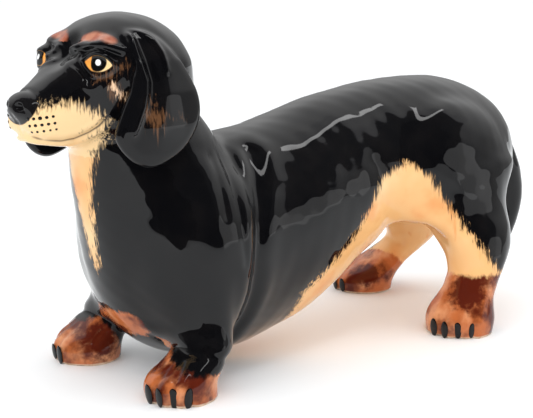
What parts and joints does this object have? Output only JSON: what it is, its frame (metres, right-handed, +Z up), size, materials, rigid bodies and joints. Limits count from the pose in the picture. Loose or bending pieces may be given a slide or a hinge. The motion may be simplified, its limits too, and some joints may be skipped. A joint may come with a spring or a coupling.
{
  "type": "dog figurine",
  "caption": "Glazed ceramic figurine of a standing dachshund with a long low body, short legs, hanging ears and a tail curled down over the rump.",
  "frame": {"origin": "floor level under the middle of the figurine's bounding box", "axes": "+X towards the nose, +Y towards the dog's left, +Z up"},
  "size_m": [0.2219, 0.0905, 0.1123],
  "materials": {
    "coat_glaze": "gloss black glaze with tan and cream hand painting",
    "leg_glaze": "gloss glaze, sponged red-brown paws under a cream and black leg"
  },
  "bodies": {
    "root": {"trunk": "coat_glaze", "head": "coat_glaze", "ear_left": "coat_glaze", "ear_right": "coat_glaze", "foreleg_left": "leg_glaze", "foreleg_right": "leg_glaze", "hind_leg_left": "leg_glaze", "hind_leg_right": "leg_glaze", "tail": "coat_glaze"}
  },
  "joints": []
}
